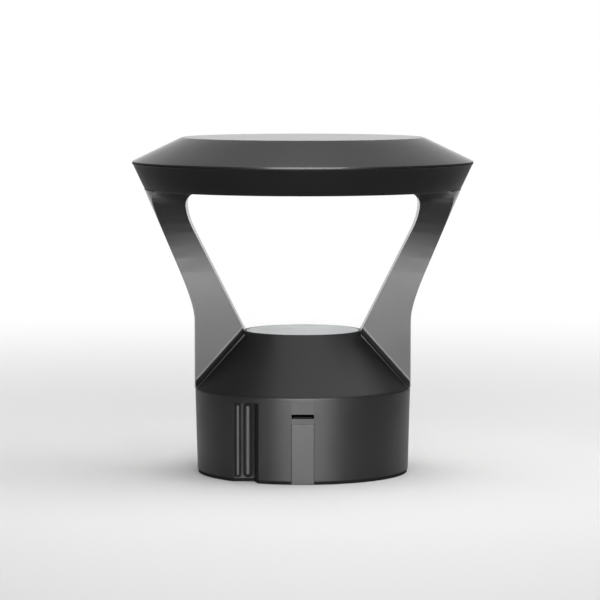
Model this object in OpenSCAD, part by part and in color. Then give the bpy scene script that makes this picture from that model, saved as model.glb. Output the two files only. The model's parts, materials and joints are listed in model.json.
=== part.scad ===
// Deck post cap light: a cast drum and cone with an upward light under a lens, and a wide
// cap on two arms that throws the light back down. Millimetres, +Z up, origin on the post's
// top at the centre of the drum. The front, with the latch slot, faces -Y.

/* [Drum] */
// Radius of the drum at its top edge
drum_top_r = 63.4; // [63:0.1:68]
// Radius of the drum at its foot
drum_foot_r = 62.1; // [61.5:0.1:63]
// Height of the drum's top edge above the post
drum_h = 50; // [49:0.5:56]
// Thickness of the drum's wall
drum_wall = 3; // [2.6:0.1:3.4]
// Roundness of the drum's top edge
drum_edge = 0.9; // [0.4:0.1:1.5]
// Height of the seal under the drum
seal_h = 2; // [1:0.1:3]
// How far the seal stands back from the drum's face
seal_set_back = 0.5; // [0.2:0.1:1]

/* [Cone] */
// Radius of the cone's top rim
cone_top_r = 34.5; // [33.5:0.1:35.5]
// Height of the cone's top rim above the drum's top edge
cone_rise = 33.5; // [31:0.5:36]
// Thickness of the cone's wall, square to its face
cone_wall = 3; // [2.5:0.1:3.4]

/* [Lens] */
// Thickness of the lens
lens_t = 3; // [2:0.1:4]
// Width of the cast lip round the lens
lens_lip = 0.9; // [0.7:0.1:1.5]
// Gap between the lens and its lip
lens_gap = 0.2; // [0.1:0.05:0.4]
// Thickness of the gasket under the lens
lens_gasket_t = 1; // [0.5:0.1:1.5]
// Thickness of the ledge that carries the lens
ledge_t = 3; // [2:0.1:4]
// Radius of the light opening through the ledge
ledge_r = 29.5; // [29:0.1:30.5]

/* [Key recess and ribs] */
// Distance of the recess's flat floor from the drum's axis
recess_floor = 46.5; // [46:0.1:47.5]
// Left edge of the recess, from the middle of the front
recess_left = 39.8; // [39.5:0.1:40.5]
// Right edge of the recess at its floor
recess_right = 28.1; // [27.5:0.1:28.5]
// Right edge of the recess at the drum's face
recess_mouth = 25.4; // [25:0.1:26.5]
// Height of the recess's top above the post
recess_top = 46.5; // [45:0.1:47.5]
// Thickness of the metal behind the recess
recess_wall = 2.5; // [2:0.1:2.8]
// Place of the outer rib, from the middle of the front
outer_rib_x = 37.4; // [37:0.1:37.8]
// Radius of the outer rib
outer_rib_r = 1.75; // [1.3:0.05:2]
// Place of the inner rib, from the middle of the front
inner_rib_x = 31.7; // [31.2:0.1:32.2]
// Radius of the inner rib
inner_rib_r = 2.4; // [2:0.05:2.7]
// Gap between the ribs' ends and the recess's top
rib_top_gap = 1.1; // [0.5:0.1:2]

/* [Latch] */
// Width of the flat land and the latch plate
latch_w = 12.8; // [12:0.1:15]
// Depth of the flat land below the drum's face
land_depth = 0.4; // [0.35:0.01:0.6]
// Height of the land's top above the post
land_top = 47.3; // [46:0.1:48]
// Height of the latch plate
latch_plate_h = 34.8; // [33:0.1:36]
// Thickness of the latch plate
latch_plate_t = 1.5; // [1.2:0.1:1.7]
// Gap round the latch plate
latch_gap = 0.15; // [0.1:0.05:0.3]
// Height of the slot's centre above the post
slot_z = 39.35; // [38.5:0.05:41]
// Height of the slot
slot_h = 2.5; // [2.4:0.05:3.2]
// Top of the channel behind the latch plate
channel_top = 30; // [27:0.5:31]
// Width of the catch blade
blade_w = 11; // [9:0.1:11.4]
// Thickness of the catch blade
blade_t = 0.8; // [0.5:0.05:1]
// Length of the catch blade above the slot's centre
blade_above_slot = 4.6; // [4:0.1:6]
// Gap between the catch blade and the drum
blade_gap = 2.2; // [2:0.1:2.6]
// How far the catch's nose reaches into the slot
nose_reach = 1.5; // [1:0.1:1.9]
// Gap between the catch's nose and the slot's edge
nose_gap = 0.4; // [0.3:0.05:0.5]
// Radius of the catch's rivets
rivet_r = 1; // [0.8:0.05:1.2]

/* [Arms] */
// Thickness of an arm between its flat faces
arm_t = 20; // [18:0.5:22]
// Radius of the arms' outer faces at the foot
arm_foot_r = 63.8; // [63.4:0.1:69]
// Height at which the arms' outer faces start to lean out, above the drum's top edge
arm_bend = 39; // [36:0.5:42]
// Height of the arms' straight lean above the bend
arm_lean = 34.5; // [32:0.5:36]
// Lean of the arms' outer faces under the cap
arm_slope = 0.427; // [0.41:0.001:0.45]
// Distance of the arms' inner edges from the axis at the cone's rim
arm_in_foot = 34; // [33.9:0.05:34.3]
// Width of the arms where they meet the cap
arm_top_w = 24.75; // [23:0.05:26]
// Height of the curve at the inner edges' top, below the cap
arm_crook_h = 23.7; // [21:0.1:26]
// Width of the curve at the inner edges' top
arm_crook_w = 4.3; // [4:0.05:6]
// Radius of the corner between the inner edges and the cap
arm_corner_r = 8.6; // [7:0.1:10]
// Half thickness to which the arms flare under the cap
arm_flare = 36; // [30:0.5:40]
// Height of the flare
arm_flare_h = 48.6; // [46:0.1:52]
// Radius of the fillet between an arm and the cone
foot_fillet = 3.8; // [3:0.1:4.5]

/* [Cap] */
// Radius of the cap's rim
rim_r = 100; // [98:0.5:106]
// Height of the cap's underside above the cone's rim
cap_lift = 83.1; // [81:0.1:86]
// Height of the cap's lower band
band_h = 15.7; // [15:0.1:18]
// How far the underside's edge stands in from the rim
band_in = 7.1; // [6:0.1:9]
// Height of the cap's upper cone
cover_rise = 14.7; // [13.5:0.1:17]
// Radius of the cap's flat top
top_r = 71; // [68:0.5:75]
// Thickness of the cap's upper cover
cover_t = 2.2; // [1.8:0.1:2.6]
// Thickness of the cap's floor
floor_t = 3; // [2.5:0.1:4]
// Thickness of the cap's lower band
band_wall = 3.3; // [2.8:0.1:4]
// Height of the narrow upright face at the rim
rim_land = 1.4; // [0.8:0.1:2]
// Radius of the reflector under the cap
reflector_r = 55; // [50:0.5:57]
// Thickness of the reflector
reflector_t = 1.5; // [1:0.1:1.6]

/* [Post mount] */
// Thickness of the gasket under the mounting plate
post_gasket_t = 1.5; // [1:0.1:1.8]
// Thickness of the mounting plate
plate_t = 3; // [2.5:0.1:4]
// Gap between the mounting plate and the drum
plate_gap = 0.5; // [0.3:0.1:0.8]
// Height of the plate's upstanding rim
collar_h = 5.5; // [4:0.1:7]
// Thickness of the plate's upstanding rim
collar_t = 2; // [1.5:0.1:2.5]
// Spacing of the post screw holes
post_screw_pitch = 60; // [58:0.5:64]
// Radius of the post screw holes
post_screw_r = 2.75; // [2.3:0.05:3.2]
// Radius of the cable entry
cable_r = 4; // [3:0.1:5]
// Radius of the grommet's hole in the plate
grommet_hole_r = 9.5; // [8.5:0.1:10.5]
// Width of the socket block
block_w = 34; // [33:0.5:38]
// Depth of the socket block
block_d = 14; // [13.5:0.1:16]
// Height of the socket block
block_h = 20; // [19:0.5:22]
// Distance of the socket block's middle from the axis
block_y = 31; // [30.5:0.1:32]
// Spacing of the two poles
pole_pitch = 22; // [20:0.5:24]
// Radius of the plug's pins
pin_r = 1.7; // [1.4:0.05:1.8]
// Gap between the pins and their sockets
pin_gap = 0.3; // [0.2:0.05:0.4]
// Depth of the pins in their sockets
pin_depth = 10.5; // [9:0.5:11.5]

/* [Lamp] */
// Height of the light funnel
funnel_h = 10.5; // [9:0.5:12]
// Radius of the lamp board
board_r = 26; // [24:0.5:26.4]
// Thickness of the lamp board
board_t = 1.6; // [1:0.1:2]
// Radius of the heat sink
sink_r = 44; // [43:0.5:44.4]
// Thickness of the heat sink's plate
sink_t = 6; // [5:0.1:6.5]
// Height of the heat sink's fins
fin_h = 9; // [7:0.5:11]
// Width of the driver
driver_w = 50; // [46:0.5:51]
// Depth of the driver
driver_d = 36; // [34:0.5:37]
// Height of the driver
driver_h = 22; // [20:0.5:24]
// Height of the plug
plug_h = 10; // [8:0.5:11]
// Radius of the wires
wire_r = 1.1; // [0.8:0.05:1.3]
// Thickness of the straps and brackets
strap_t = 1.2; // [1:0.1:1.5]

/* [Screws] */
// Radius of the small screws
small_screw_r = 1.5; // [1.2:0.05:1.6]
// Radius of the large screws that hold the arms
large_screw_r = 2.4; // [2:0.05:2.6]
// Gap between a screw and its hole
screw_gap = 0.1; // [0.05:0.05:0.2]

/* [Hidden] */

$fn = 64;
FINE = 160;
EPS = 0.01;
FAR = 200;

DARK = [0.14, 0.14, 0.15];
STEEL = [0.72, 0.73, 0.75];
ALLOY = [0.80, 0.81, 0.83];
BRASS = [0.80, 0.62, 0.30];
RUBBER = [0.05, 0.05, 0.05];
OPAL = [0.90, 0.91, 0.92];
WHITE = [0.96, 0.96, 0.95];

// Heights of the main planes
plate_z = post_gasket_t;
plate_top = plate_z + plate_t;
rim_z = drum_h + cone_rise;
ledge_top = rim_z - lens_t - lens_gasket_t;
sink_top = ledge_top - ledge_t - funnel_h;
sink_z = sink_top - sink_t;
cap_z = rim_z + cap_lift;
seam_z = cap_z + band_h;
light_h = seam_z + cover_rise;
floor_z = cap_z + floor_t;
block_top = plate_top + block_h;
plug_gap = 1.5;
plug_z = block_top + plug_gap;
plug_top = plug_z + plug_h;
driver_z = sink_z - driver_h;

// Radii and slopes that follow from the main shape
band_foot_r = rim_r - band_in;
cone_run = drum_top_r - cone_top_r;
cone_wall_x = cone_wall * sqrt(cone_run * cone_run + cone_rise * cone_rise) / cone_rise;
drum_in_r = min(drum_foot_r, drum_top_r) - drum_wall;
plate_r = drum_in_r - plate_gap;
cover_run = rim_r - top_r;
cover_wall_x = cover_t * sqrt(cover_run * cover_run + cover_rise * cover_rise) / cover_rise;
draft = atan((drum_top_r - drum_foot_r) / drum_h);
lens_r = cone_top_r - lens_lip - lens_gap;

// Screws: head radius and height, as multiples of the shank's radius
HEAD_R = 1.8;
HEAD_H = 1.2;

// Places of the screws
arm_screw_in = 13.8;
arm_screw_x = arm_foot_r - arm_screw_in;
arm_screw_y = 5.5;
arm_screw_l = 23;
arm_boss_r = 6.2;
arm_boss_drop = 8.3;
boss_gap = 0.5;
cap_screw_y = 7;
cap_screw_l = 20;
cap_screw_in = 15;
cap_screw_x = band_foot_r - cap_screw_in;
sink_boss_r = 4;
sink_screw_in = 8;
sink_screw_ring = sink_r - sink_screw_in;
sink_screw_bite = 4.5;
// Free width between the heat sink's inner fins, for the slack of the cable's cores
fin_aisle = 37.4;
board_screw_in = 4;
board_screw_ring = board_r - board_screw_in;
cover_post_r = 4;
cover_post_in = 10;
cover_post_ring = reflector_r - cover_post_in;
cover_screw_l = 12;
centre_boss_r = 4;
centre_boss_h = 5;
blind_end = 2;
hole_run_on = 1;
plug_screw_bite = 3.2;

// Catch and its bracket
blade_face = drum_in_r - blade_gap;
bracket_back = blade_face - blade_t;
bracket_h = 7.5;
bracket_foot = 13;
bracket_t = 1.5;
blade_foot_gap = 1.5;
rivet_head_h = 0.6;

// Plug and its bracket
plug_d = 10;
plug_end = 6;
plug_set_back = 2;
plug_y = block_y + plug_set_back;
clamp_set_back = 3.5;
clamp_y = block_y - clamp_set_back;
clamp_seat = 4;
block_seat = 4;
block_screw_y = 4;
wire_entry_h = 5;
pin_collar = 0.9;
pin_collar_h = 0.7;
contact_wall = 0.6;
contact_end = 0.8;
lead_rise = 5;
lead_bend = 4;
bracket_y = plug_y + plug_d / 2;
bracket_screw_in = 5;
bracket_lap = 3.5;
plug_bracket_w = 30;
plug_screw_in = 3.5;
strap_w = 14;
strap_flange = 8.3;

function drum_r(z) = drum_foot_r + (drum_top_r - drum_foot_r) * z / drum_h;
function cone_z(r) = drum_h + (drum_top_r - r) * cone_rise / cone_run;
function cone_r(z) = drum_top_r - (z - drum_h) * cone_run / cone_rise;

function bezier(a, b, c, d, n) = [
    for (i = [0:n])
        let (t = i / n, s = 1 - t)
            s * s * s * a + 3 * s * s * t * b + 3 * s * t * t * c + t * t * t * d
];

function circle_at(n, r, start = 0) = [
    for (i = [0:n - 1])
        let (a = start + i * 360 / n)
            [r * cos(a), r * sin(a)]
];

// ---------------------------------------------------------------- shared shapes

module lathe(points) {
    rotate_extrude($fn = FINE)
        polygon(points);
}

module rod(r, z0, z1) {
    translate([0, 0, z0])
        cylinder(r = r, h = z1 - z0);
}

module tube(r_out, r_in, z0, z1) {
    difference() {
        translate([0, 0, z0])
            cylinder(r = r_out, h = z1 - z0, $fn = FINE);
        translate([0, 0, z0 - 1])
            cylinder(r = r_in, h = z1 - z0 + 2, $fn = FINE);
    }
}

module bar(x0, x1, y0, y1, z0, z1) {
    translate([x0, y0, z0])
        cube([x1 - x0, y1 - y0, z1 - z0]);
}

// A socket-head screw that points up from its seat, or down if up is -1
module screw(r, l, up = 1) {
    head_r = r * HEAD_R;
    head_h = r * HEAD_H;
    mirror([0, 0, up > 0 ? 0 : 1])
        difference() {
            union() {
                cylinder(r = r, h = l);
                translate([0, 0, -head_h])
                    cylinder(r = head_r, h = head_h);
            }
            translate([0, 0, -head_h - 1])
                cylinder(r = head_r * 0.5, h = head_h * 0.6 + 1, $fn = 6);
        }
}

// Copies its children onto a ring of equal places
module on_ring(count, ring, start) {
    for (p = circle_at(count, ring, start))
        translate([p.x, p.y, 0])
            children();
}

// Copies its children onto the four post screw holes
module at_post_screws() {
    for (x = [-1, 1], y = [-1, 1])
        translate([x * post_screw_pitch / 2, y * post_screw_pitch / 2, 0])
            children();
}

// Copies its children onto the pairs of screws in both arms
module at_arm_screws(x, y) {
    for (sx = [-1, 1], sy = [-1, 1])
        translate([sx * x, sy * y, 0])
            children();
}

// Copies its children onto the two poles of the plug
module at_poles() {
    for (sx = [-1, 1])
        translate([sx * pole_pitch / 2, 0, 0])
            children();
}

// Leans its children back to lie along the front of the drum, which tapers
module on_front() {
    translate([0, -drum_foot_r, 0])
        rotate([draft, 0, 0])
            children();
}

// ---------------------------------------------------------------- drum and cone

// The outside of the drum and cone as one solid
module housing_solid() {
    lathe(concat(
        [[0, seal_h], [drum_r(seal_h), seal_h]],
        bezier(
            [drum_r(drum_h - drum_edge), drum_h - drum_edge],
            [drum_top_r, drum_h - drum_edge / 3],
            [drum_top_r - drum_edge * 0.1, drum_h + drum_edge * 0.1],
            [cone_r(drum_h + drum_edge), drum_h + drum_edge],
            4
        ),
        [[cone_top_r, rim_z], [0, rim_z]]
    ));
}

// The plain cone and drum that the arms are fitted to
module cone_solid() {
    lathe([
        [0, 0],
        [drum_top_r, 0],
        [drum_top_r, drum_h],
        [cone_top_r, rim_z],
        [0, rim_z]
    ]);
}

// The hollow inside: the lens seat, the light opening, the cone and the drum
module housing_hollow() {
    seat_r = cone_top_r - lens_lip;
    ledge_foot = ledge_top - ledge_t;
    knee_z = drum_h - 1;
    lathe([
        [0, -1],
        [drum_in_r, -1],
        [drum_in_r, seal_h],
        [drum_r(knee_z) - drum_wall, knee_z],
        [cone_r(ledge_foot) - cone_wall_x, ledge_foot],
        [ledge_r, ledge_foot],
        [ledge_r, ledge_top],
        [seat_r, ledge_top],
        [seat_r, rim_z + 1],
        [0, rim_z + 1]
    ]);
}

// Plan of the recess at the left of the front
module recess_plan() {
    polygon([
        [-recess_left, -recess_floor],
        [-recess_right, -recess_floor],
        [-recess_mouth, -drum_foot_r + 5.4],
        [-recess_mouth + 1, -drum_top_r - 5],
        [-recess_left, -drum_top_r - 5]
    ]);
}

// Plan of the metal that stands into the drum behind the recess, grown by a gap
module key_plan(gap) {
    left = recess_left + recess_wall + 1.7 + gap;
    inner = recess_floor - recess_wall - gap;
    right = recess_right - recess_wall - gap;
    mouth = recess_mouth - recess_wall - 0.5 - gap;
    polygon([
        [-left, -inner],
        [-right, -inner],
        [-mouth, -drum_top_r],
        [-left, -drum_top_r]
    ]);
}

module rib(x, r) {
    low = seal_h + 0.4 + r;
    high = recess_top - rib_top_gap - r;
    translate([-x, -recess_floor, 0]) {
        translate([0, 0, low])
            cylinder(r = r, h = high - low, $fn = 32);
        translate([0, 0, low])
            sphere(r = r, $fn = 32);
        translate([0, 0, high])
            sphere(r = r, $fn = 32);
    }
}

module base_housing() {
    boss_z = cone_z(arm_screw_x) - arm_boss_drop;
    color(DARK)
        difference() {
            union() {
                difference() {
                    housing_solid();
                    housing_hollow();
                }
                intersection() {
                    housing_solid();
                    union() {
                        translate([0, 0, seal_h])
                            linear_extrude(recess_top + recess_wall - seal_h)
                                key_plan(0);
                        at_arm_screws(arm_screw_x, arm_screw_y)
                            rod(arm_boss_r, boss_z, rim_z);
                        on_ring(3, sink_screw_ring, 30)
                            rod(sink_boss_r, sink_top, ledge_top - ledge_t + EPS);
                    }
                }
            }
            difference() {
                linear_extrude(recess_top)
                    recess_plan();
                rib(outer_rib_x, outer_rib_r);
                rib(inner_rib_x, inner_rib_r);
            }
            on_front()
                front_cuts();
            at_arm_screws(arm_screw_x, arm_screw_y) {
                rod(large_screw_r + screw_gap, boss_z - 1, rim_z);
                rod(large_screw_r * HEAD_R + 3 * screw_gap, boss_z - large_screw_r * HEAD_H - 1, boss_z);
            }
            on_ring(3, sink_screw_ring, 30)
                rod(small_screw_r + screw_gap, sink_top - 1, sink_top + sink_screw_bite + hole_run_on / 2);
        }
}

// The flat land, the slot, the latch plate's pocket and the catch's channel
module front_cuts() {
    w = latch_w / 2;
    pocket = w + latch_gap;
    channel = blade_w / 2 + 0.3;
    bar(-w, w, -5, land_depth, latch_plate_h, land_top);
    bar(-pocket, pocket, -5, land_depth + latch_plate_t, -1, latch_plate_h + latch_gap);
    bar(-w, w, -5, drum_wall + 3, slot_z - slot_h / 2, slot_z + slot_h / 2);
    bar(-channel, channel, -5, drum_wall + 3, -1, channel_top);
}

module edge_seal() {
    seal_in = drum_in_r;
    color(RUBBER)
        difference() {
            union() {
                tube(drum_foot_r - seal_set_back, seal_in, 0, seal_h);
                intersection() {
                    linear_extrude(seal_h)
                        key_plan(0);
                    rod(drum_foot_r - seal_set_back, 0, seal_h, $fn = FINE);
                }
            }
            translate([0, 0, -1])
                linear_extrude(seal_h + 2)
                    recess_plan();
            on_front()
                bar(-latch_w / 2 - latch_gap, latch_w / 2 + latch_gap, -5, drum_wall + 3, -1, seal_h + 1);
        }
}

module latch_plate() {
    w = latch_w / 2;
    color(DARK)
        on_front()
            bar(-w, w, land_depth, land_depth + latch_plate_t, 0, latch_plate_h);
}

// ---------------------------------------------------------------- lens and lamp

module lens() {
    soft = 0.4;
    color(OPAL)
        lathe([
            [0, ledge_top + lens_gasket_t],
            [lens_r, ledge_top + lens_gasket_t],
            [lens_r, rim_z - soft],
            [lens_r - soft, rim_z],
            [0, rim_z]
        ]);
}

module lens_gasket() {
    color(RUBBER)
        tube(lens_r, ledge_r + 0.8, ledge_top, ledge_top + lens_gasket_t);
}

module inner_reflector() {
    wall = 1.6;
    foot_r = board_r + 0.6;
    top = ledge_top - ledge_t;
    color(WHITE)
        lathe([
            [foot_r, sink_top],
            [foot_r + wall, sink_top],
            [ledge_r + wall + 0.1, top],
            [ledge_r + 0.1, top]
        ]);
}

module led_board() {
    color(WHITE)
        difference() {
            rod(board_r, sink_top, sink_top + board_t, $fn = FINE);
            on_ring(3, board_screw_ring, 60)
                rod(small_screw_r * 0.8 + screw_gap, sink_top - 1, sink_top + board_t + 1);
            at_led_leads()
                rod(wire_r + screw_gap, sink_top - 1, sink_top + board_t + 1);
        }
}

// Places of the two wires that come up through the lamp board
module at_led_leads() {
    for (sy = [-1, 1])
        translate([board_r - 6, sy * 4, 0])
            children();
}

module led_chips() {
    chip = 3;
    chip_h = 0.8;
    z = sink_top + board_t;
    color([0.95, 0.85, 0.35]) {
        on_ring(8, board_r * 0.55, 22.5)
            bar(-chip / 2, chip / 2, -chip / 2, chip / 2, z, z + chip_h);
        on_ring(4, board_r * 0.22, 45)
            bar(-chip / 2, chip / 2, -chip / 2, chip / 2, z, z + chip_h);
    }
}

module board_screws() {
    color(STEEL)
        on_ring(3, board_screw_ring, 60)
            translate([0, 0, sink_top + board_t])
                screw(small_screw_r * 0.8, board_t + sink_t - blind_end, -1);
}

module heat_sink() {
    fin_t = 1.6;
    fin_pitch = 5;
    fin_start = (fin_aisle + fin_t) / 2;
    color(ALLOY)
        difference() {
            union() {
                rod(sink_r, sink_z, sink_top, $fn = FINE);
                intersection() {
                    rod(sink_r - 1, sink_z - fin_h, sink_top, $fn = FINE);
                    for (sx = [-1, 1], sy = [-1, 1], i = [0:2])
                        translate([sx * (fin_start + i * fin_pitch), sy * sink_r, 0])
                            bar(
                                -fin_t / 2, fin_t / 2,
                                -sink_r + driver_d / 2 + 6, sink_r - driver_d / 2 - 6,
                                sink_z - fin_h, sink_top
                            );
                }
            }
            on_ring(3, sink_screw_ring, 30)
                rod(small_screw_r + screw_gap, sink_z - fin_h - 1, sink_top + 1);
            at_arm_screws(arm_screw_x, arm_screw_y)
                rod(arm_boss_r + boss_gap, sink_z - fin_h - 1, sink_top + 1);
            on_ring(3, board_screw_ring, 60)
                rod(small_screw_r * 0.8 + screw_gap, sink_z + blind_end / 2, sink_top + 1);
            at_led_leads()
                rod(wire_r + screw_gap, sink_z - 1, sink_top + 1);
            for (y = [strap_screw_y, -strap_screw_y, bracket_screw_y])
                translate([0, y, 0])
                    rod(small_screw_r + screw_gap, sink_z - 1, sink_top - blind_end * 0.75);
        }
}

module heat_sink_screws() {
    color(STEEL)
        on_ring(3, sink_screw_ring, 30)
            translate([0, 0, sink_z])
                screw(small_screw_r, sink_t + sink_screw_bite);
}

module led_driver() {
    round_r = 2.5;
    w = driver_w / 2 - round_r;
    d = driver_d / 2 - round_r;
    color([0.20, 0.20, 0.22])
        translate([0, 0, driver_z])
            linear_extrude(driver_h)
                union() {
                    square([driver_w, 2 * d], center = true);
                    square([2 * w, driver_d], center = true);
                    for (sx = [-1, 1], sy = [-1, 1])
                        translate([sx * w, sy * d])
                            circle(r = round_r);
                }
}

strap_screw_y = driver_d / 2 + strap_t + strap_flange / 2;
plug_screw_x = plug_bracket_w / 2 - plug_screw_in;
plug_screw_z = plug_z + plug_h * 0.6;
bracket_screw_y = bracket_y - bracket_screw_in;

module driver_strap() {
    w = strap_w / 2;
    d = driver_d / 2;
    color(STEEL)
        difference() {
            union() {
                bar(-w, w, -d - strap_t, d + strap_t, driver_z - strap_t, driver_z);
                for (side = [0, 1])
                    mirror([0, side, 0]) {
                        bar(-w, w, d, d + strap_t, driver_z - strap_t, sink_z);
                        bar(-w, w, d, d + strap_t + strap_flange, sink_z - strap_t, sink_z);
                    }
            }
            for (sy = [-1, 1])
                translate([0, sy * strap_screw_y, 0])
                    rod(small_screw_r + screw_gap, sink_z - strap_t - 1, sink_z + 1);
        }
}

module strap_screws() {
    color(STEEL)
        for (sy = [-1, 1])
            translate([0, sy * strap_screw_y, sink_z - strap_t])
                screw(small_screw_r, strap_t + sink_t - blind_end);
}

module led_leads() {
    solder_r = wire_r * 1.6;
    z = sink_top + board_t;
    color([0.75, 0.10, 0.08])
        at_led_leads() {
            rod(wire_r, sink_z, z + 0.2);
            rod(solder_r, z, z + 0.8);
        }
}

// ---------------------------------------------------------------- plug and sockets

module plug_body() {
    w = pole_pitch / 2 + plug_end;
    color([0.12, 0.12, 0.13])
        difference() {
            bar(-w, w, plug_y - plug_d / 2, plug_y + plug_d / 2, plug_z, plug_top);
            translate([0, plug_y, 0])
                at_poles()
                    rod(pin_r, plug_z - 1, plug_z + plug_h / 2);
            for (sx = [-1, 1])
                translate([sx * plug_screw_x, plug_y, plug_screw_z])
                    rotate([-90, 0, 0])
                        rod(small_screw_r * 0.8 + screw_gap, 0, plug_d);
        }
}

module plug_pins() {
    low = block_top - pin_depth;
    color(BRASS)
        translate([0, plug_y, 0])
            at_poles() {
                rod(pin_r, low + pin_r, plug_z + plug_h / 2);
                rod(pin_r + pin_collar, plug_z - pin_collar_h, plug_z);
                translate([0, 0, low + pin_r])
                    sphere(r = pin_r);
            }
}

// Two wires that leave the plug's top and turn into the back of the driver
module plug_leads() {
    turn_z = plug_top + lead_rise;
    color([0.70, 0.68, 0.62])
        translate([0, plug_y, 0])
            at_poles() {
                rod(wire_r, plug_top, turn_z);
                translate([0, -lead_bend, turn_z])
                    rotate([90, 0, 90])
                        rotate_extrude(angle = 90)
                            translate([lead_bend, 0])
                                circle(r = wire_r);
                translate([0, -lead_bend, turn_z + lead_bend])
                    rotate([90, 0, 0])
                        rod(wire_r, 0, plug_y - lead_bend - driver_d / 2);
            }
}

module plug_bracket() {
    w = plug_bracket_w / 2;
    neck = strap_w / 2;
    hole = small_screw_r * 0.8 + screw_gap;
    color(STEEL)
        difference() {
            union() {
                bar(-w, w, bracket_y, bracket_y + strap_t, plug_z, plug_top);
                bar(-neck, neck, bracket_y, bracket_y + strap_t, plug_z, sink_z);
                bar(
                    -neck, neck, bracket_screw_y - bracket_lap, bracket_y + strap_t,
                    sink_z - strap_t, sink_z
                );
            }
            translate([0, bracket_screw_y, 0])
                rod(small_screw_r + screw_gap, sink_z - strap_t - 1, sink_z + 1);
            for (sx = [-1, 1])
                translate([sx * plug_screw_x, bracket_y, plug_screw_z])
                    rotate([-90, 0, 0])
                        rod(hole, -1, strap_t + 1);
        }
}

module bracket_screws() {
    color(STEEL) {
        translate([0, bracket_screw_y, sink_z - strap_t])
            screw(small_screw_r, strap_t + sink_t - blind_end);
        for (sx = [-1, 1])
            translate([sx * plug_screw_x, bracket_y + strap_t, plug_screw_z])
                rotate([90, 0, 0])
                    screw(small_screw_r * 0.8, strap_t + plug_screw_bite);
    }
}

contact_r = pin_r + pin_gap + contact_wall;
contact_z = block_top - pin_depth - 2 * contact_end;

module socket_block() {
    w = block_w / 2;
    d = block_d / 2;
    wire_z = plate_top + wire_entry_h;
    color([0.15, 0.15, 0.17])
        difference() {
            bar(-w, w, block_y - d, block_y + d, plate_top, block_top);
            at_poles() {
                translate([0, plug_y, 0])
                    rod(contact_r, contact_z, block_top + 1);
                translate([0, clamp_y, 0])
                    rod(small_screw_r + screw_gap, wire_z, block_top + 1);
                translate([0, clamp_y, 0])
                    rod(small_screw_r * HEAD_R + screw_gap, block_top - clamp_seat, block_top + 1);
                translate([0, block_y - d - 1, wire_z])
                    rotate([-90, 0, 0])
                        rod(small_screw_r + 4 * screw_gap, 0, block_d - clamp_seat);
            }
            for (y = [block_y - block_screw_y, block_y + block_screw_y])
                translate([0, y, 0]) {
                    rod(small_screw_r + screw_gap, plate_top - 1, block_top + 1);
                    rod(small_screw_r * HEAD_R + 3 * screw_gap, plate_top + block_seat, block_top + 1);
                }
        }
}

module socket_contacts() {
    color(BRASS)
        translate([0, plug_y, 0])
            at_poles()
                difference() {
                    rod(contact_r, contact_z, block_top);
                    rod(pin_r + pin_gap, contact_z + contact_end, block_top + 1);
                }
}

module clamp_screws() {
    color(STEEL)
        translate([0, clamp_y, block_top - clamp_seat])
            at_poles()
                screw(small_screw_r, block_h - clamp_seat - wire_entry_h - hole_run_on, -1);
}

module block_screws() {
    color(STEEL)
        for (y = [block_y - block_screw_y, block_y + block_screw_y])
            translate([0, y, plate_top + block_seat])
                screw(small_screw_r, plate_t + block_seat - hole_run_on / 2, -1);
}

// ---------------------------------------------------------------- post mount

module mounting_plate() {
    color(ALLOY)
        difference() {
            union() {
                rod(plate_r, plate_z, plate_top, $fn = FINE);
                tube(plate_r, plate_r - collar_t, plate_top - 1, plate_top + collar_h);
            }
            linear_extrude(FAR)
                key_plan(plate_gap);
            bar(
                -blade_w / 2 - 2, blade_w / 2 + 2,
                -plate_r - 1, -plate_r + collar_t + 5,
                plate_top, plate_top + collar_h + 1
            );
            rod(grommet_hole_r, 0, plate_top + 1, $fn = FINE);
            at_post_screws()
                rod(post_screw_r, 0, plate_top + 1);
            for (y = [block_y - block_screw_y, block_y + block_screw_y])
                translate([0, y, 0])
                    rod(small_screw_r + screw_gap, 0, plate_top + 1);
            for (y = catch_screw_ys)
                translate([0, y, 0])
                    rod(small_screw_r + screw_gap, 0, plate_top + 1);
        }
}

module post_gasket() {
    color(RUBBER)
        difference() {
            tube(plate_r - 2, grommet_hole_r + 4.5, 0, post_gasket_t);
            translate([0, 0, -1])
                linear_extrude(FAR)
                    key_plan(plate_gap + 1);
            at_post_screws()
                rod(post_screw_r + 0.75, -1, post_gasket_t + 1);
        }
}

module cable_grommet() {
    lip = 3;
    lip_t = 1.1;
    nozzle_r = cable_r + 2;
    color(RUBBER)
        lathe([
            [cable_r, plate_z - lip_t],
            [grommet_hole_r + lip, plate_z - lip_t],
            [grommet_hole_r + lip, plate_z],
            [grommet_hole_r, plate_z],
            [grommet_hole_r, plate_top],
            [grommet_hole_r + lip, plate_top],
            [grommet_hole_r + lip, plate_top + lip_t],
            [nozzle_r + 1.5, plate_top + lip_t],
            [nozzle_r, plate_top + lip_t + 4],
            [cable_r, plate_top + lip_t + 4]
        ]);
}

// ---------------------------------------------------------------- catch

catch_screw_ys = [
    -bracket_back + bracket_foot * 0.35,
    -bracket_back + bracket_foot * 0.77
];
rivet_z = plate_top + blade_foot_gap + (bracket_h - blade_foot_gap) / 2;
rivet_x = blade_w / 2 - 2.5;

module catch_bracket() {
    w = blade_w / 2;
    color(STEEL)
        difference() {
            union() {
                bar(-w, w, -bracket_back, -bracket_back + bracket_t, plate_top, plate_top + bracket_h);
                bar(-w, w, -bracket_back, -bracket_back + bracket_foot, plate_top, plate_top + bracket_t);
            }
            for (y = catch_screw_ys)
                translate([0, y, 0])
                    rod(small_screw_r + screw_gap, 0, plate_top + bracket_t + 1);
            at_rivets()
                rod(rivet_r, -1, bracket_t + 1);
        }
}

// Places of the two rivets, which point back from the blade's inner face
module at_rivets() {
    for (sx = [-1, 1])
        translate([sx * rivet_x, -bracket_back, rivet_z])
            rotate([-90, 0, 0])
                children();
}

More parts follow.
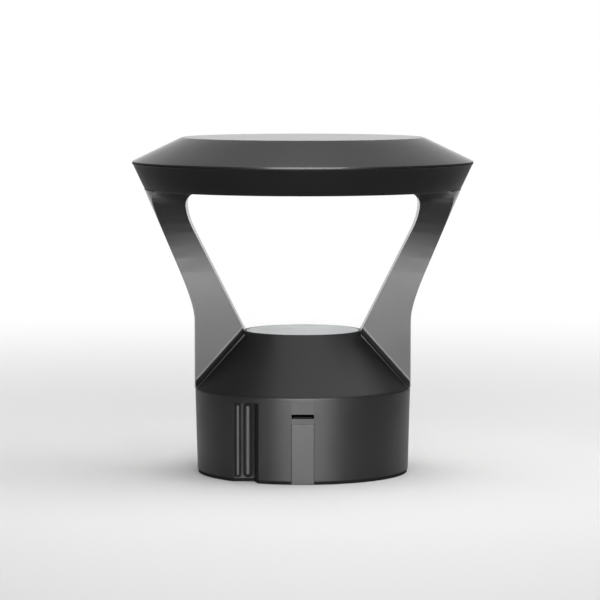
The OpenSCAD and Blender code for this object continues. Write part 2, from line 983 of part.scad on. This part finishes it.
module catch_blade() {
    w = blade_w / 2;
    nose_z = slot_z - slot_h / 2 + nose_gap;
    tip = drum_r(slot_z) - drum_wall + nose_reach;
    color(STEEL)
        difference() {
            union() {
                bar(
                    -w, w, -blade_face, -bracket_back,
                    plate_top + blade_foot_gap, slot_z + blade_above_slot
                );
                translate([-w, 0, 0])
                    rotate([90, 0, 90])
                        linear_extrude(blade_w)
                            polygon([
                                [-blade_face + EPS, nose_z],
                                [-tip, nose_z],
                                [-tip, nose_z + 0.5],
                                [-tip + 1.4, nose_z + slot_h - 2 * nose_gap - 0.1],
                                [-blade_face + EPS, nose_z + slot_h + 1]
                            ]);
            }
            at_rivets()
                rod(rivet_r + 0.15, -blade_t - 1, 1);
        }
}

module catch_rivets() {
    color(BRASS)
        at_rivets() {
            rod(rivet_r, -blade_t, bracket_t);
            rod(rivet_r * 1.8, -blade_t - rivet_head_h, -blade_t);
            rod(rivet_r * 1.6, bracket_t, bracket_t + rivet_head_h);
        }
}

module catch_screws() {
    color(STEEL)
        for (y = catch_screw_ys)
            translate([0, y, plate_top + bracket_t])
                screw(small_screw_r, plate_t + bracket_t - hole_run_on / 2, -1);
}

// ---------------------------------------------------------------- arms

arm_corner_x = band_foot_r - arm_top_w;
arm_corner_z = cap_z - arm_corner_r;
arm_crook_x = arm_corner_x - arm_crook_w;
arm_crook_z = cap_z - arm_crook_h;

// Outer faces of both arms as a solid of revolution
module arm_lathe() {
    bend_z = drum_h + arm_bend;
    lean_z = bend_z + arm_lean;
    lean_r = band_foot_r - arm_slope * (cap_z - lean_z);
    lathe(concat(
        [[0, drum_h], [arm_foot_r, drum_h]],
        bezier(
            [arm_foot_r, bend_z],
            [arm_foot_r, bend_z + arm_lean * 0.23],
            [lean_r - arm_slope * arm_lean * 0.46, lean_z - arm_lean * 0.46],
            [lean_r, lean_z],
            8
        ),
        [[band_foot_r, cap_z], [0, cap_z]]
    ));
}

// Front view of the space from an arm's inner edge outwards
module arm_front_plan() {
    lean = (arm_crook_x - arm_in_foot) / (arm_crook_z - rim_z);
    pull = (arm_corner_z - arm_crook_z) * 0.3;
    blend_end = arm_corner_x - arm_corner_r * 1.16;
    polygon(concat(
        [[FAR, 0], [arm_in_foot, 0], [arm_in_foot, rim_z]],
        bezier(
            [arm_crook_x, arm_crook_z],
            [arm_crook_x + pull * lean, arm_crook_z + pull],
            [arm_corner_x, arm_corner_z - pull],
            [arm_corner_x, arm_corner_z],
            6
        ),
        bezier(
            [arm_corner_x, arm_corner_z],
            [arm_corner_x, arm_corner_z + arm_corner_r * 0.49],
            [blend_end + arm_corner_r * 0.67, cap_z],
            [blend_end, cap_z],
            6
        ),
        [[blend_end, cap_z + 1], [FAR, cap_z + 1]]
    ));
}

// Side view of an arm: flat faces that flare out under the cap
module arm_side_plan() {
    half = arm_t / 2;
    flare_z = cap_z - arm_flare_h;
    side = bezier(
        [half, flare_z],
        [half, flare_z + arm_flare_h * 0.66],
        [half + 4, flare_z + arm_flare_h * 0.865],
        [arm_flare, cap_z],
        10
    );
    other = [for (i = [len(side) - 1:-1:0]) [-side[i].x, side[i].y]];
    polygon(concat([[-half, 0], [half, 0]], side, other));
}

// Concave fillet along the line where an arm's flat face meets the cone
module foot_fillet_strip() {
    half = arm_t / 2;
    top_r_here = sqrt(arm_in_foot * arm_in_foot + half * half);
    low_x = sqrt(drum_top_r * drum_top_r - half * half);
    run = low_x - arm_in_foot;
    drop = cone_z(top_r_here) - drum_h;
    length = sqrt(run * run + drop * drop);
    tilt = atan2(run, drop);
    steps = 6;
    arc = [
        for (i = [0:steps])
            let (a = 90 * i / steps)
                [foot_fillet * (1 - cos(a)), foot_fillet * (1 - sin(a))]
    ];
    translate([arm_in_foot, -half, cone_z(top_r_here)])
        rotate([0, 180 - tilt, 0])
            translate([0, 0, -10])
                linear_extrude(length + 20)
                    rotate(180)
                        polygon(concat(
                            [[2, -1], [-2, -1]],
                            [for (p = arc) [p.y, p.x]],
                            [[-2, foot_fillet]]
                        ));
}

module arm() {
    screw_r = large_screw_r + screw_gap;
    difference() {
        intersection() {
            arm_lathe();
            rotate([90, 0, 0])
                linear_extrude(FAR, center = true)
                    arm_front_plan();
            union() {
                rotate([90, 0, 90])
                    linear_extrude(FAR)
                        arm_side_plan();
                for (side = [0, 1])
                    mirror([0, side, 0])
                        foot_fillet_strip();
            }
        }
        cone_solid();
        for (sy = [-1, 1]) {
            translate([arm_screw_x, sy * arm_screw_y, 0])
                rod(screw_r, drum_h, cone_z(arm_screw_x) - arm_boss_drop + arm_screw_l + 1);
            translate([cap_screw_x, sy * cap_screw_y, 0])
                rod(screw_r, floor_z - cap_screw_l - 1, cap_z + 1);
        }
    }
}

module arm_right() {
    color(DARK)
        arm();
}

module arm_left() {
    color(DARK)
        mirror([1, 0, 0])
            arm();
}

module arm_screws() {
    color(STEEL)
        at_arm_screws(arm_screw_x, arm_screw_y)
            translate([0, 0, cone_z(arm_screw_x) - arm_boss_drop])
                screw(large_screw_r, arm_screw_l);
}

// ---------------------------------------------------------------- cap

module cap_body() {
    soft = 0.5;
    color(DARK)
        difference() {
            union() {
                lathe([
                    [0, cap_z],
                    [band_foot_r - soft, cap_z],
                    [band_foot_r, cap_z + soft],
                    [rim_r - soft, seam_z - rim_land / 2 - soft],
                    [rim_r, seam_z - rim_land / 2],
                    [rim_r, seam_z],
                    [rim_r - cover_wall_x, seam_z],
                    [band_foot_r - band_wall, floor_z],
                    [0, floor_z]
                ]);
                rod(centre_boss_r, cap_z, floor_z + centre_boss_h);
            }
            at_arm_screws(cap_screw_x, cap_screw_y)
                rod(large_screw_r + screw_gap, cap_z - 1, floor_z + 1);
            on_ring(3, cover_post_ring, 90) {
                rod(small_screw_r + screw_gap, cap_z - 1, floor_z + 1);
                rod(small_screw_r * HEAD_R + 3 * screw_gap, cap_z - 1, cap_z + small_screw_r * HEAD_H);
            }
            rod(small_screw_r + screw_gap, cap_z - 1, floor_z + centre_boss_h - hole_run_on);
        }
}

module cap_cover() {
    soft = 0.6;
    inner_top_r = top_r + cover_t * 0.2 - cover_wall_x * 0.1;
    color(DARK)
        difference() {
            union() {
                lathe([
                    [0, light_h - cover_t],
                    [inner_top_r - cover_t, light_h - cover_t],
                    [rim_r - cover_wall_x, seam_z],
                    [rim_r, seam_z],
                    [rim_r, seam_z + rim_land / 2],
                    [rim_r - soft, seam_z + rim_land / 2 + soft * 0.6],
                    [top_r + soft, light_h - soft * cover_rise / cover_run],
                    [top_r - soft, light_h],
                    [0, light_h]
                ]);
                on_ring(3, cover_post_ring, 90)
                    rod(cover_post_r, floor_z, light_h - cover_t + EPS);
            }
            on_ring(3, cover_post_ring, 90)
                rod(small_screw_r + screw_gap, floor_z - 1, floor_z + cover_screw_l + hole_run_on);
        }
}

module cap_screws() {
    color(STEEL)
        at_arm_screws(cap_screw_x, cap_screw_y)
            translate([0, 0, floor_z])
                screw(large_screw_r, cap_screw_l, -1);
}

module cover_screws() {
    color(STEEL)
        on_ring(3, cover_post_ring, 90)
            translate([0, 0, cap_z + small_screw_r * HEAD_H])
                screw(small_screw_r, cover_screw_l);
}

module reflector_disc() {
    color(WHITE)
        difference() {
            rod(reflector_r, cap_z - reflector_t, cap_z, $fn = FINE);
            rod(small_screw_r + screw_gap, cap_z - reflector_t - 1, cap_z + 1);
        }
}

module reflector_screw() {
    color(STEEL)
        translate([0, 0, cap_z - reflector_t])
            screw(small_screw_r, reflector_t + floor_t + centre_boss_h / 2);
}

// ---------------------------------------------------------------- nodes

base_housing();
edge_seal();
latch_plate();
lens();
lens_gasket();
inner_reflector();
led_board();
led_chips();
board_screws();
heat_sink();
heat_sink_screws();
led_driver();
driver_strap();
strap_screws();
led_leads();
plug_body();
plug_pins();
plug_leads();
plug_bracket();
bracket_screws();
arm_left();
arm_right();
arm_screws();
cap_body();
cap_cover();
cap_screws();
cover_screws();
reflector_disc();
reflector_screw();
mounting_plate();
post_gasket();
cable_grommet();
socket_block();
socket_contacts();
clamp_screws();
block_screws();
catch_bracket();
catch_blade();
catch_rivets();
catch_screws();
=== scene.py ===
"""Deck post cap light, dressed for a render: finishes, rounded edges, a pale floor, soft light
and the photograph's camera. All sizes in metres, +Z up, the front faces -Y."""

import json
import math

import bpy
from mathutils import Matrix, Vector


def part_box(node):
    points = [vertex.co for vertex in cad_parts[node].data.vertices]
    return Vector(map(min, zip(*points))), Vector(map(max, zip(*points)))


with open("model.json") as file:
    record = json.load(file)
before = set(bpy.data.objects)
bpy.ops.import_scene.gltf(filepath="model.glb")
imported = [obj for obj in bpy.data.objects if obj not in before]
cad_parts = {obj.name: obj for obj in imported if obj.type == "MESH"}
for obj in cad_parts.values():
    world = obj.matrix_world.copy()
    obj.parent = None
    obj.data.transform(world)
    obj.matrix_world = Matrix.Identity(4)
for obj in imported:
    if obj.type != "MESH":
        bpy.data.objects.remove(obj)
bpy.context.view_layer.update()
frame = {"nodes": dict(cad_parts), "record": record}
nodes = frame["nodes"]
scene = bpy.context.scene
MM = 0.001


# ---------------------------------------------------------------- material helpers

# How far a rounded normal turns from the plain one where wear begins, and where it is full
WEAR_START = 0.02
WEAR_FULL = 0.25

# Z of the normal up to which a face looks straight down, and from which it doesn't
DOWN_FULL = -0.98
DOWN_END = -0.95

# Share of open space over a point in a groove, and over a point on an open face
GROOVE_SPACE = 0.60
OPEN_SPACE = 0.86


class Shader:
    """A new material with a Principled shader, and short ways to add nodes to it."""

    def __init__(self, name):
        self.material = bpy.data.materials.new(name)
        self.material.use_nodes = True
        self.tree = self.material.node_tree
        self.bsdf = self.tree.nodes["Principled BSDF"]
        self.place = self.tree.nodes.new("ShaderNodeTexCoord").outputs["Object"]

    def set(self, **values):
        """Sets constants on the Principled shader's own sockets."""
        for key, value in values.items():
            self.bsdf.inputs[key.replace("_", " ")].default_value = value
        return self

    def node(self, kind, **values):
        """Adds a node. A value for a name in capitals is a property, otherwise a socket."""
        made = self.tree.nodes.new("ShaderNode" + kind)
        for key, value in values.items():
            if key.isupper():
                setattr(made, key.lower(), value)
            else:
                self.feed(made.inputs[key.replace("_", " ")], value)
        return made

    def feed(self, socket, value):
        """Links another node's output to a socket, or sets a constant on it."""
        if hasattr(value, "links"):
            self.tree.links.new(value, socket)
        else:
            socket.default_value = value

    def link(self, out, socket):
        self.tree.links.new(out, self.bsdf.inputs[socket])

    def stretched(self, x, y, z):
        """The object's own coordinates, scaled along each axis."""
        return self.node("Mapping", Vector=self.place, Scale=(x, y, z)).outputs["Vector"]

    def noise(self, scale, detail=2.0, rough=0.5, at=None):
        return self.node(
            "TexNoise", Vector=at or self.place, Scale=scale, Detail=detail, Roughness=rough
        ).outputs["Fac"]

    def spread(self, value, low, high, from_low=0.3, from_high=0.7):
        """Maps a value onto low to high."""
        return self.node(
            "MapRange", Value=value, From_Min=from_low, From_Max=from_high, To_Min=low, To_Max=high
        ).outputs["Result"]

    def mix(self, fac, a, b):
        """Colour a where fac is 0, and b where it is 1."""
        made = self.node("MixRGB", Fac=fac)
        for name, value in (("Color1", a), ("Color2", b)):
            self.feed(made.inputs[name], value if hasattr(value, "links") else (*value, 1.0))
        return made.outputs["Color"]

    def math(self, operation, a, b):
        made = self.node("Math", OPERATION=operation)
        self.feed(made.inputs[0], a)
        self.feed(made.inputs[1], b)
        return made.outputs["Value"]

    def edges(self, radius):
        """1 on the sharp edges, within about the radius, and 0 elsewhere."""
        soft = self.node("Bevel", SAMPLES=4, Radius=radius).outputs["Normal"]
        plain = self.node("NewGeometry").outputs["Normal"]
        dot = self.node("VectorMath", OPERATION="DOT_PRODUCT")
        self.tree.links.new(soft, dot.inputs[0])
        self.tree.links.new(plain, dot.inputs[1])
        away = self.math("SUBTRACT", 1.0, dot.outputs["Value"])
        return self.spread(away, 0.0, 1.0, WEAR_START, WEAR_FULL)

    def underside(self, height):
        """1 on the faces that look straight down below a height, and 0 elsewhere."""
        split = self.node("SeparateXYZ", Vector=self.place)
        low = self.spread(split.outputs["Z"], 1.0, 0.0, height, height + 0.1 * MM)
        turned = self.node("SeparateXYZ", Vector=self.node("NewGeometry").outputs["Normal"])
        down = self.spread(turned.outputs["Z"], 1.0, 0.0, DOWN_FULL, DOWN_END)
        return self.math("MULTIPLY", low, down)

    def grooves(self, width, neighbours):
        """1 in grooves and corners narrower than about the width, and 0 on open faces. Where
        neighbours is true, the pieces next to this one count as walls too."""
        made = self.node(
            "AmbientOcclusion", SAMPLES=8, ONLY_LOCAL=not neighbours, Distance=width
        )
        return self.spread(made.outputs["AO"], 1.0, 0.0, GROOVE_SPACE, OPEN_SPACE)

    def bump(self, *layers):
        """Stacks bump layers, each a height, a strength and a distance in metres."""
        last = None
        for height, strength, distance in layers:
            made = self.node("Bump", Height=height, Strength=strength, Distance=distance)
            if last is not None:
                self.tree.links.new(last, made.inputs["Normal"])
            last = made.outputs["Normal"]
        self.link(last, "Normal")


def scaled(tone, factor):
    """A colour made paler or darker, kept below 1."""
    return [min(1.0, c * factor) for c in tone]


# ---------------------------------------------------------------- materials

WHITE_PAINT = (0.78, 0.78, 0.77)
WORN_COAT = (0.050, 0.050, 0.052)

# How much bluer than grey the powder coats are
COAT_BLUE = 1.03

# Roughness of the coat in narrow grooves
DRY_COAT = 0.95


def powder_coat(
    name, tone, rough, gloss=0.32, glaze=0.8, grain=1.0,
    white_below=None, groove=None, neighbours=False,
):
    """Satin black powder coat: a fine orange peel, a few specks, and paler edges. Below the
    given height, faces that look straight down are painted white. Grooves narrower than the
    given width hold a thin, dry coat without gloss."""
    tone = (tone, tone, tone * COAT_BLUE)
    s = Shader(name).set(
        Specular_IOR_Level=gloss, Coat_Weight=glaze, Coat_Roughness=0.15, Coat_IOR=1.20
    )
    cloud = s.noise(scale=38.0, detail=3.0)
    peel = s.noise(scale=1500.0, detail=1.0)
    specks = s.noise(scale=5200.0, detail=1.0)
    worn = s.math("MULTIPLY", s.edges(0.35 * MM), s.spread(s.noise(scale=420.0), 0.15, 0.75))
    base = s.mix(s.spread(cloud, 0.0, 1.0), scaled(tone, 0.88), scaled(tone, 1.14))
    speckled = s.spread(specks, 0.0, 0.35, from_low=0.62, from_high=0.75)
    base = s.mix(speckled, base, scaled(tone, 2.6))
    base = s.mix(worn, base, WORN_COAT)
    if white_below is not None:
        base = s.mix(s.underside(white_below), base, WHITE_PAINT)
    s.link(base, "Base Color")
    dull = s.math(
        "ADD", s.spread(cloud, rough - 0.025, rough + 0.025), s.spread(peel, -0.02, 0.02)
    )
    if groove is not None:
        narrow = s.grooves(groove, neighbours)
        dull = s.math("ADD", dull, s.math("MULTIPLY", narrow, DRY_COAT - rough))
        if glaze > 0.0:
            s.link(s.spread(narrow, glaze, 0.0, from_low=0.0, from_high=1.0), "Coat Weight")
    s.link(dull, "Roughness")
    s.bump((peel, 0.10 * grain, 0.06 * MM), (specks, 0.08 * grain, 0.02 * MM))
    return s.material


def bare_metal(name, tone, rough, brushed):
    """Bare metal with fine marks drawn out along one axis, blotches and bright edges."""
    s = Shader(name).set(Metallic=1.0)
    lines = s.noise(scale=900.0, detail=4.0, rough=0.6, at=s.stretched(*brushed))
    cloud = s.noise(scale=60.0, detail=3.0)
    worn = s.math("MULTIPLY", s.edges(0.25 * MM), 0.6)
    base = s.mix(s.spread(cloud, 0.0, 1.0), scaled(tone, 0.86), tone)
    base = s.mix(s.spread(lines, 0.0, 0.30), base, scaled(tone, 1.15))
    base = s.mix(worn, base, scaled(tone, 1.25))
    s.link(base, "Base Color")
    s.link(s.spread(lines, rough - 0.07, rough + 0.07), "Roughness")
    s.bump((lines, 0.25, 0.02 * MM))
    return s.material


def moulded(name, tone, rough, grain=0.05, scale=1400.0, gloss=0.5):
    """Moulded plastic or rubber with a fine spark-eroded grain, its depth in millimetres, and
    paler edges."""
    s = Shader(name).set(Specular_IOR_Level=gloss)
    fine = s.noise(scale=scale, detail=3.0)
    cloud = s.noise(scale=70.0)
    worn = s.math("MULTIPLY", s.edges(0.25 * MM), 0.35)
    base = s.mix(s.spread(cloud, 0.0, 1.0), scaled(tone, 0.85), scaled(tone, 1.12))
    base = s.mix(worn, base, [c * 0.7 + 0.045 for c in tone])
    s.link(base, "Base Color")
    s.link(s.spread(fine, rough - 0.06, rough + 0.06), "Roughness")
    s.bump((fine, 0.35, grain * MM))
    return s.material


def opal_lens():
    """Frosted opal polycarbonate: milky, with a fine frosted face and little gloss. Its grey is
    darker than the opal's own milky white: painted shade for the shadow that the cap casts over
    the lens.
    """
    s = Shader("opal").set(
        Specular_IOR_Level=0.05, IOR=1.58,
        Subsurface_Weight=0.35, Subsurface_Scale=4.0 * MM, Subsurface_Radius=(1.0, 0.95, 0.9),
    )
    cloud = s.noise(scale=45.0)
    frost = s.noise(scale=2600.0)
    # Mid grey instead of the opal's own milky white: painted shade for the shadow that the cap
    # casts over the lens
    base = s.mix(s.spread(cloud, 0.0, 1.0), (0.40, 0.41, 0.42), (0.46, 0.47, 0.48))
    s.link(base, "Base Color")
    s.link(s.spread(frost, 0.55, 0.65), "Roughness")
    s.bump((frost, 0.12, 0.02 * MM))
    return s.material


def circuit_board():
    """White solder mask with faint traces and a slight weave."""
    s = Shader("board")
    weave = s.node("TexBrick", Vector=s.place, Scale=170.0).outputs["Fac"]
    fine = s.noise(scale=900.0)
    base = s.mix(s.math("MULTIPLY", weave, 0.35), (0.80, 0.81, 0.80), (0.62, 0.66, 0.63))
    s.link(base, "Base Color")
    s.link(s.spread(fine, 0.28, 0.42), "Roughness")
    s.bump((weave, 0.2, 0.03 * MM))
    return s.material


# One finish for each of the record's material slots. The powder coat is dry and without gloss
# in the narrow corners at the arms' feet
MATERIALS = {
    "powder_coat": powder_coat(
        "powder_coat", tone=0.003, rough=0.40, gloss=0.30, glaze=0.79,
        groove=3.0 * MM, neighbours=True,
    ),
    "cover_coat": powder_coat("cover_coat", tone=0.004, rough=0.40),
    "latch_coat": powder_coat(
        "latch_coat", tone=0.005, rough=0.40, gloss=0.50, glaze=0.0, grain=0.6
    ),
    "rubber": moulded("rubber", (0.004, 0.004, 0.004), rough=0.85, gloss=0.15),
    "opal": opal_lens(),
    "aluminium": bare_metal("aluminium", (0.68, 0.69, 0.71), rough=0.38, brushed=(1.0, 0.06, 1.0)),
    "steel": bare_metal("steel", (0.50, 0.50, 0.51), rough=0.30, brushed=(1.0, 1.0, 0.08)),
    "spring_steel": bare_metal(
        "spring_steel", (0.008, 0.008, 0.008), rough=0.50, brushed=(1.0, 1.0, 0.05)
    ),
    "brass": bare_metal("brass", (0.66, 0.47, 0.20), rough=0.28, brushed=(1.0, 1.0, 0.10)),
    "white_paint": moulded("white_paint", WHITE_PAINT, rough=0.55, grain=0.02),
    "board": circuit_board(),
    "led": moulded("led", (0.85, 0.62, 0.12), rough=0.50, grain=0.01, scale=4000.0),
    "potting": moulded("potting", (0.020, 0.020, 0.022), rough=0.45),
    "nylon": moulded("nylon", (0.016, 0.016, 0.018), rough=0.50),
    "wire": moulded("wire", (0.30, 0.02, 0.02), rough=0.40, grain=0.01),
}

# Nodes whose coat differs from that of their slot: the drum is duller, and the cap's underside
# is white, to throw the lamp's light back down
FINISHES = {
    "base_housing": powder_coat(
        "housing_coat", tone=0.002, rough=0.44, gloss=0.46, glaze=0.0, groove=4.0 * MM
    ),
    "cap_body": powder_coat(
        "cap_coat", tone=0.002, rough=0.42, gloss=0.15, glaze=0.0,
        white_below=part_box("cap_body")[0][2] + 0.2 * MM,
    ),
}


# ---------------------------------------------------------------- CAD nodes: edges and finishes

# Width of the rounded edges, in millimetres, and the width of those that aren't named
EDGE_WIDTH = {
    "base_housing": 0.16,
    "latch_plate": 0.25,
    "edge_seal": 0.15,
    "arm_left": 0.45,
    "arm_right": 0.45,
    "cap_body": 0.30,
    "cap_cover": 0.30,
}
USUAL_EDGE_WIDTH = 0.12

# Angle between faces, in degrees, from which an edge counts as sharp, also where it isn't named
EDGE_ANGLE = {"cap_cover": 20}
USUAL_EDGE_ANGLE = 32

# Corners closer than this are one
WELD_GAP = 0.002 * MM


def round_edges(obj, width, angle):
    """Joins the split corners and rounds the edges sharper than the angle."""
    weld = obj.modifiers.new("weld", "WELD")
    weld.merge_threshold = WELD_GAP
    bevel = obj.modifiers.new("bevel", "BEVEL")
    bevel.width = width * MM
    bevel.segments = 3
    bevel.limit_method = "ANGLE"
    bevel.angle_limit = math.radians(angle)
    bevel.harden_normals = False
    bevel.use_clamp_overlap = True


def smooth(obj, angle):
    """Smooth shading, kept sharp where faces meet at more than the angle."""
    for face in obj.data.polygons:
        face.use_smooth = True
    made = obj.modifiers.new("smooth", "NODES")
    made.node_group = smooth_group(math.radians(angle))
    flat = obj.modifiers.new("flat_faces", "WEIGHTED_NORMAL")
    flat.mode = "FACE_AREA"
    flat.keep_sharp = True


def smooth_group(angle):
    """A node group that marks edges sharper than the angle as sharp."""
    name = f"smooth_{angle:.3f}"
    if name in bpy.data.node_groups:
        return bpy.data.node_groups[name]
    group = bpy.data.node_groups.new(name, "GeometryNodeTree")
    for way in ("INPUT", "OUTPUT"):
        group.interface.new_socket("Geometry", in_out=way, socket_type="NodeSocketGeometry")
    add = group.nodes.new
    join = group.links.new
    start = add("NodeGroupInput")
    end = add("NodeGroupOutput")
    edge = add("GeometryNodeInputMeshEdgeAngle")
    over = add("FunctionNodeCompare")
    over.data_type = "FLOAT"
    over.operation = "GREATER_THAN"
    over.inputs["B"].default_value = angle
    sharp = add("GeometryNodeSetShadeSmooth")
    sharp.domain = "EDGE"
    sharp.inputs["Shade Smooth"].default_value = False
    join(edge.outputs["Unsigned Angle"], over.inputs["A"])
    join(over.outputs["Result"], sharp.inputs["Selection"])
    join(start.outputs["Geometry"], sharp.inputs["Geometry"])
    join(sharp.outputs["Geometry"], end.inputs["Geometry"])
    return group


slots = {p["node"]: p["material_slot"] for p in frame["record"]["subparts"]}
for name, obj in nodes.items():
    obj.data.materials.clear()
    obj.data.materials.append(FINISHES.get(name, MATERIALS[slots[name]]))
    angle = EDGE_ANGLE.get(name, USUAL_EDGE_ANGLE)
    round_edges(obj, EDGE_WIDTH.get(name, USUAL_EDGE_WIDTH), angle)
    smooth(obj, angle)


# ---------------------------------------------------------------- floor and world

WHITE = (1.0, 1.0, 1.0, 1.0)

# The floor's corners, and how far it lies below the object
FLOOR_LOW = (-9, -7)
FLOOR_HIGH = (9, 14)
FLOOR_GAP = 0.1 * MM

# The floor's tone in front of and behind the object, and beside it
PAPER_TONE = 0.80
FLOOR_TONE = 0.30

# Distance from the middle at which the paler tone starts to fade, and at which it has faded, and
# how much further out both lie for each metre towards the back
PAPER_HALF = 0.19
PAPER_END = 0.48
PAPER_SPREAD = 0.10

# Distance from the object at which the floor starts to run into the horizon, and at which it has
FADE_START = 0.10
FADE_END = 1.1

# Y at which that horizon starts to turn white, and at which it is white
WHITE_START = -0.3
WHITE_END = 0.3

# Levels of the studio's sides and ceiling, and the height of a direction that counts as ceiling
SIDES = 0.16
CEILING = 0.20
CEILING_START = 0.6

# Angle from straight back at which the white backdrop starts to fade, and at which it has
BACKDROP_HALF = math.radians(14)
BACKDROP_END = math.radians(27)

# The backdrop is white up to the first height, and has its upper level from the second one. It
# keeps that up to the third height, and is as dark as the ceiling from the fourth one
BACKDROP_WHITE = 0.06
BACKDROP_UPPER = 0.25
BACKDROP_LOW = 0.60
BACKDROP_TOP = 0.85
BACKDROP_LEVEL = 0.68


class Nodes:
    """Short ways to add nodes to the tree of the floor or the world."""

    def __init__(self, tree):
        self.tree = tree

    def add(self, kind, *sources, **properties):
        made = self.tree.nodes.new("ShaderNode" + kind)
        for key, value in properties.items():
            setattr(made, key, value)
        for socket, source in zip(made.inputs, sources):
            if hasattr(source, "links"):
                self.tree.links.new(source, socket)
            else:
                socket.default_value = source
        return made

    def math(self, operation, *sources):
        return self.add("Math", *sources, operation=operation).outputs[0]

    def ramp(self, value, start, end, low, high):
        """Goes smoothly from low at start to high at end."""
        made = self.add("MapRange", value, start, end, low, high, interpolation_type="SMOOTHSTEP")
        return made.outputs["Result"]

    def split(self, vector):
        return self.add("SeparateXYZ", vector).outputs

    def backdrop(self, x, y):
        """1 in the directions that the white backdrop fills, behind the object, else 0."""
        across = self.math("MULTIPLY", x, x)
        along = self.math("MULTIPLY", y, y)
        flat = self.math("SQRT", self.math("ADD", across, along))
        turn = self.math("DIVIDE", y, flat)
        return self.ramp(turn, math.cos(BACKDROP_END), math.cos(BACKDROP_HALF), 0.0, 1.0)


def floor_material():
    """A pale floor, greyer at the sides. Far out it runs into the world's horizon, which is
    white only behind the object."""
    material = bpy.data.materials.new("floor")
    material.use_nodes = True
    n = Nodes(material.node_tree)
    bsdf = n.tree.nodes["Principled BSDF"]
    bsdf.inputs["Roughness"].default_value = 0.9
    bsdf.inputs["Specular IOR Level"].default_value = 0.0
    bsdf.inputs["Emission Color"].default_value = WHITE
    place = n.add("TexCoord").outputs["Object"]
    x, y, _ = n.split(place)
    reach = n.add("VectorMath", place, operation="LENGTH").outputs["Value"]
    fade = n.ramp(reach, FADE_START, FADE_END, 0.0, 1.0)
    side = n.math("SUBTRACT", n.math("ABSOLUTE", x), n.math("MULTIPLY", y, PAPER_SPREAD))
    off_paper = n.ramp(side, PAPER_HALF, PAPER_END, 0.0, 1.0)
    tone = n.ramp(off_paper, 0.0, 1.0, PAPER_TONE, FLOOR_TONE)
    near = n.math("MULTIPLY", tone, n.math("SUBTRACT", 1.0, fade))
    n.tree.links.new(near, bsdf.inputs["Base Color"])
    path = n.add("LightPath").outputs
    seen = n.math("MAXIMUM", path["Is Camera Ray"], path["Is Glossy Ray"])
    seen = n.math("MAXIMUM", seen, path["Is Transmission Ray"])
    behind = n.ramp(y, WHITE_START, WHITE_END, 0.0, 1.0)
    white = n.math("MULTIPLY", behind, n.math("SUBTRACT", 1.0, off_paper))
    far = n.math("ADD", SIDES, n.math("MULTIPLY", white, 1.0 - SIDES))
    glow = n.math("MULTIPLY", seen, n.math("MULTIPLY", fade, far))
    n.tree.links.new(glow, bsdf.inputs["Emission Strength"])
    return material


def make_floor():
    (x0, y0), (x1, y1) = FLOOR_LOW, FLOOR_HIGH
    mesh = bpy.data.meshes.new("floor")
    mesh.from_pydata([(x0, y0, 0), (x1, y0, 0), (x1, y1, 0), (x0, y1, 0)], [], [(0, 1, 2, 3)])
    floor = bpy.data.objects.new("floor", mesh)
    scene.collection.objects.link(floor)
    floor.location.z = -FLOOR_GAP
    mesh.materials.append(floor_material())


def make_world():
    """A white backdrop behind the object, in a studio that is grey at its sides and overhead."""
    world = bpy.data.worlds.new("world")
    world.use_nodes = True
    n = Nodes(world.node_tree)
    background = n.tree.nodes["Background"]
    background.inputs["Color"].default_value = WHITE
    x, y, z = n.split(n.add("TexCoord").outputs["Generated"])
    upper = n.ramp(z, BACKDROP_WHITE, BACKDROP_UPPER, 1.0, BACKDROP_LEVEL)
    white = n.ramp(z, BACKDROP_LOW, BACKDROP_TOP, upper, CEILING)
    grey = n.ramp(z, 0.0, CEILING_START, SIDES, CEILING)
    more = n.math("MULTIPLY", n.backdrop(x, y), n.math("SUBTRACT", white, grey))
    n.tree.links.new(n.math("ADD", grey, more), background.inputs["Strength"])
    scene.world = world


# ---------------------------------------------------------------- lamps and camera

# The photograph's camera: its frame and focal length in pixels, and its dip in degrees
FRAME_PIXELS = 600.0
FOCAL_PIXELS = 3100.0
CAMERA_PLACE = (-0.0016, -1.820, 0.251)
CAMERA_DIP = 4.71
SENSOR_WIDTH = 36.0


def softbox(name, at, aim, width, height, level, spread=180.0, gloss=True):
    """An area lamp of the given radiance that faces a point, with its spread in degrees."""
    data = bpy.data.lights.new(name, "AREA")
    data.shape = "RECTANGLE"
    data.size = width
    data.size_y = height
    data.energy = level * math.pi * width * height
    data.spread = math.radians(spread)
    obj = bpy.data.objects.new(name, data)
    scene.collection.objects.link(obj)
    obj.location = at
    obj.rotation_mode = "QUATERNION"
    obj.rotation_quaternion = (Vector(aim) - Vector(at)).to_track_quat("-Z", "Y")
    obj.visible_camera = False
    obj.visible_glossy = gloss


def make_camera():
    data = bpy.data.cameras.new("camera")
    data.sensor_width = SENSOR_WIDTH
    data.lens = SENSOR_WIDTH * FOCAL_PIXELS / FRAME_PIXELS
    data.clip_start = 0.05
    data.clip_end = 30.0
    camera = bpy.data.objects.new("camera", data)
    scene.collection.objects.link(camera)
    camera.location = CAMERA_PLACE
    camera.rotation_euler = (math.radians(90.0 - CAMERA_DIP), 0.0, 0.0)
    scene.camera = camera


make_floor()
make_world()

# The main light, a wide box in front and a little to the right
softbox("front", (0.08, -1.50, 0.17), (0.08, 0.0, 0.17), width=1.40, height=0.33, level=24.0)

# A weak strip low in front
softbox(
    "low", (0.03, -0.62, 0.05), (0.03, 0.0, 0.12), width=0.50, height=0.07, level=1.3, spread=100.0
)

# A narrow beam from behind, up between the arms at the cap's white underside. It is kept out of
# reflections, where it would glare in the arms
softbox(
    "lift", (0.0, 0.55, 0.035), (0.0, 0.0, 0.20), width=0.14, height=0.05, level=55.0, spread=34.0,
    gloss=False,
)

# A large box overhead, to the right
softbox("top", (0.56, -0.05, 1.65), (0.56, -0.05, 0.0), width=2.42, height=1.90, level=2.0)

make_camera()
scene.view_settings.view_transform = "Standard"
